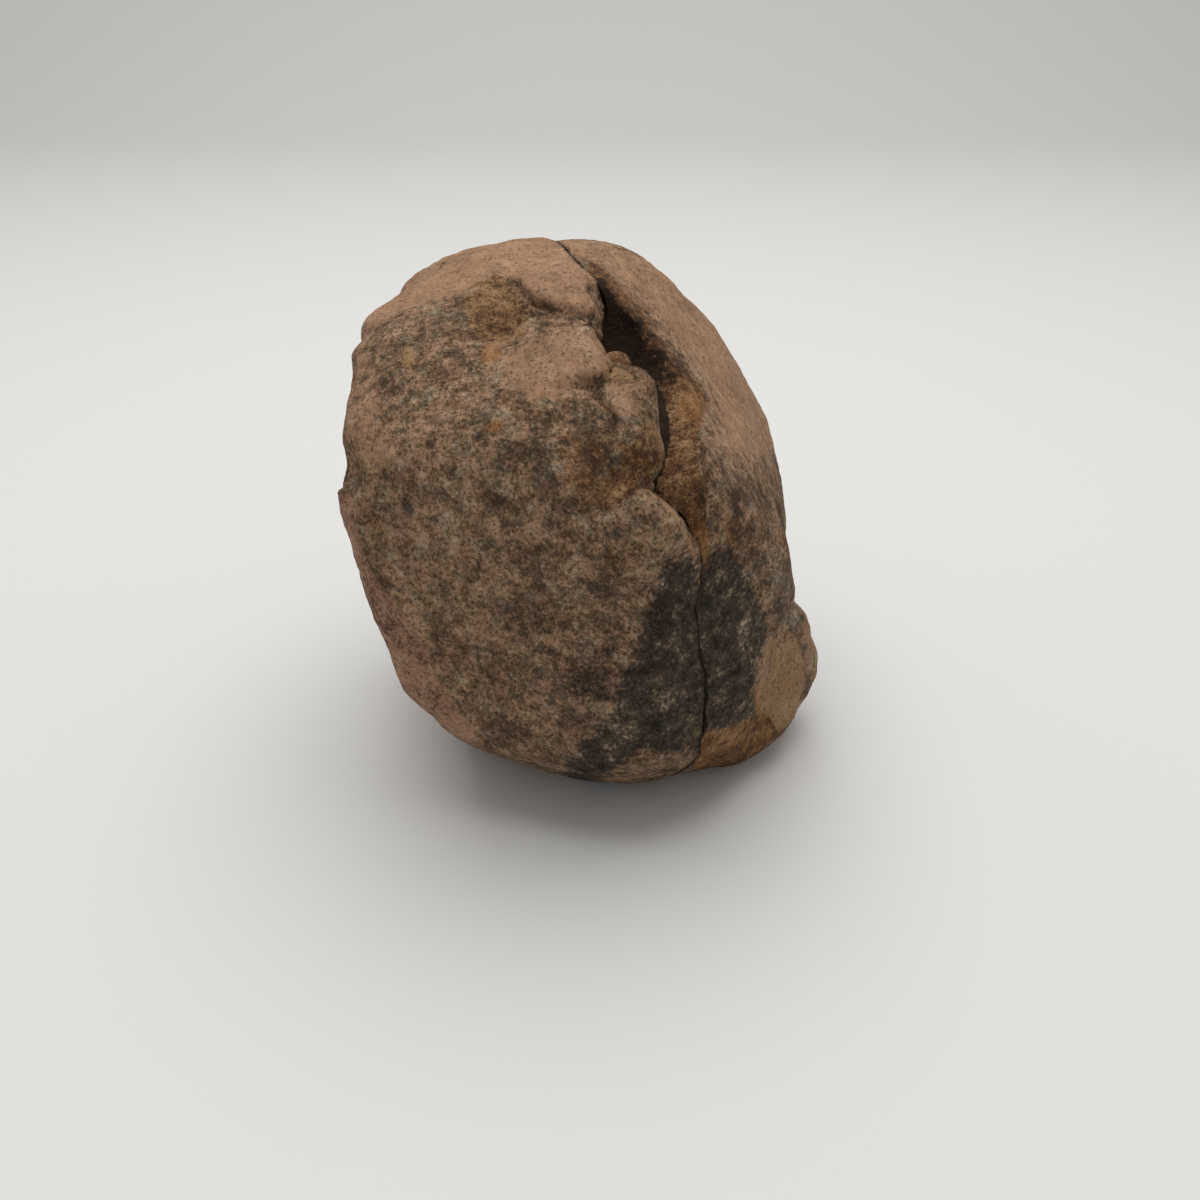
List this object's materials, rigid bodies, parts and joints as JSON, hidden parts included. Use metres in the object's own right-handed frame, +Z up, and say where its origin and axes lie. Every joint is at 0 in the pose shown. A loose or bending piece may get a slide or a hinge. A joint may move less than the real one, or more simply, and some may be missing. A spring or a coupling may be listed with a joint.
{
  "type": "trilobite nodule",
  "caption": "Weathered stone nodule split lengthwise in two fitting halves, with a trilobite in relief on one and its mould in the other.",
  "frame": {"origin": "middle of the stone's underside, on the surface that it rests on", "axes": "+Z up as the stone stands; -Y is the front, where the crack and the opening with the head's lumps show; +X is the counterpart's side"},
  "size_m": [0.0562, 0.0602, 0.0604],
  "materials": {
    "weathered_ironstone": "matt weathered stone, mottled pinkish tan and grey-brown with dark specks",
    "rusty_ironstone": "matt weathered stone, tan and grey-brown with rusty orange on the broken rim and dark grey low down"
  },
  "bodies": {
    "root": {"positive_half": "weathered_ironstone", "counterpart_half": "rusty_ironstone"}
  },
  "joints": []
}
